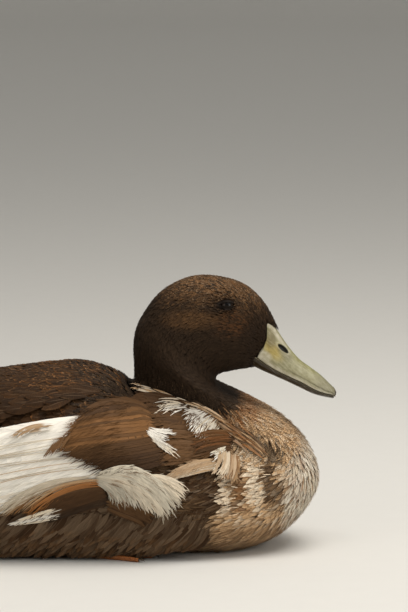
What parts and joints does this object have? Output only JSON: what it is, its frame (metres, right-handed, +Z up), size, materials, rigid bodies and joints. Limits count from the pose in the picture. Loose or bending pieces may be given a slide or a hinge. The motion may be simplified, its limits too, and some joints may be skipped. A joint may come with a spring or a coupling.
{
  "type": "duck",
  "caption": "Life-size duck resting on its belly with the neck drawn in, the wings folded and the feet tucked under.",
  "frame": {"origin": "on the flat of the belly that lies on the floor, in the middle plane, just behind the feet's toe joints", "axes": "+X along the body towards the bill, +Y to the bird's left, +Z up"},
  "size_m": [0.4513, 0.1734, 0.205],
  "materials": {
    "dark_plumage": "matt, soft feathers",
    "fawn_plumage": "matt, soft feathers",
    "brown_plumage": "matt feathers with a slight silky sheen",
    "white_plumage": "matt feathers with a slight silky sheen",
    "bill": "satin horn",
    "bill_dark": "satin horn",
    "eye": "wet gloss",
    "foot": "scaly, half matt"
  },
  "bodies": {
    "root": {"head": "dark_plumage", "neck": "dark_plumage", "trunk": "fawn_plumage", "tail": "brown_plumage", "scapulars_right": "dark_plumage", "scapulars_left": "dark_plumage", "wing_right": "brown_plumage", "wing_left": "brown_plumage", "primaries_right": "white_plumage", "primaries_left": "white_plumage", "eye_right": "eye", "eye_left": "eye", "bill_upper": "bill", "bill_nail": "bill_dark", "bill_lower": "bill_dark", "leg_right": "foot", "leg_left": "foot", "foot_right": "foot", "foot_left": "foot"}
  },
  "joints": []
}
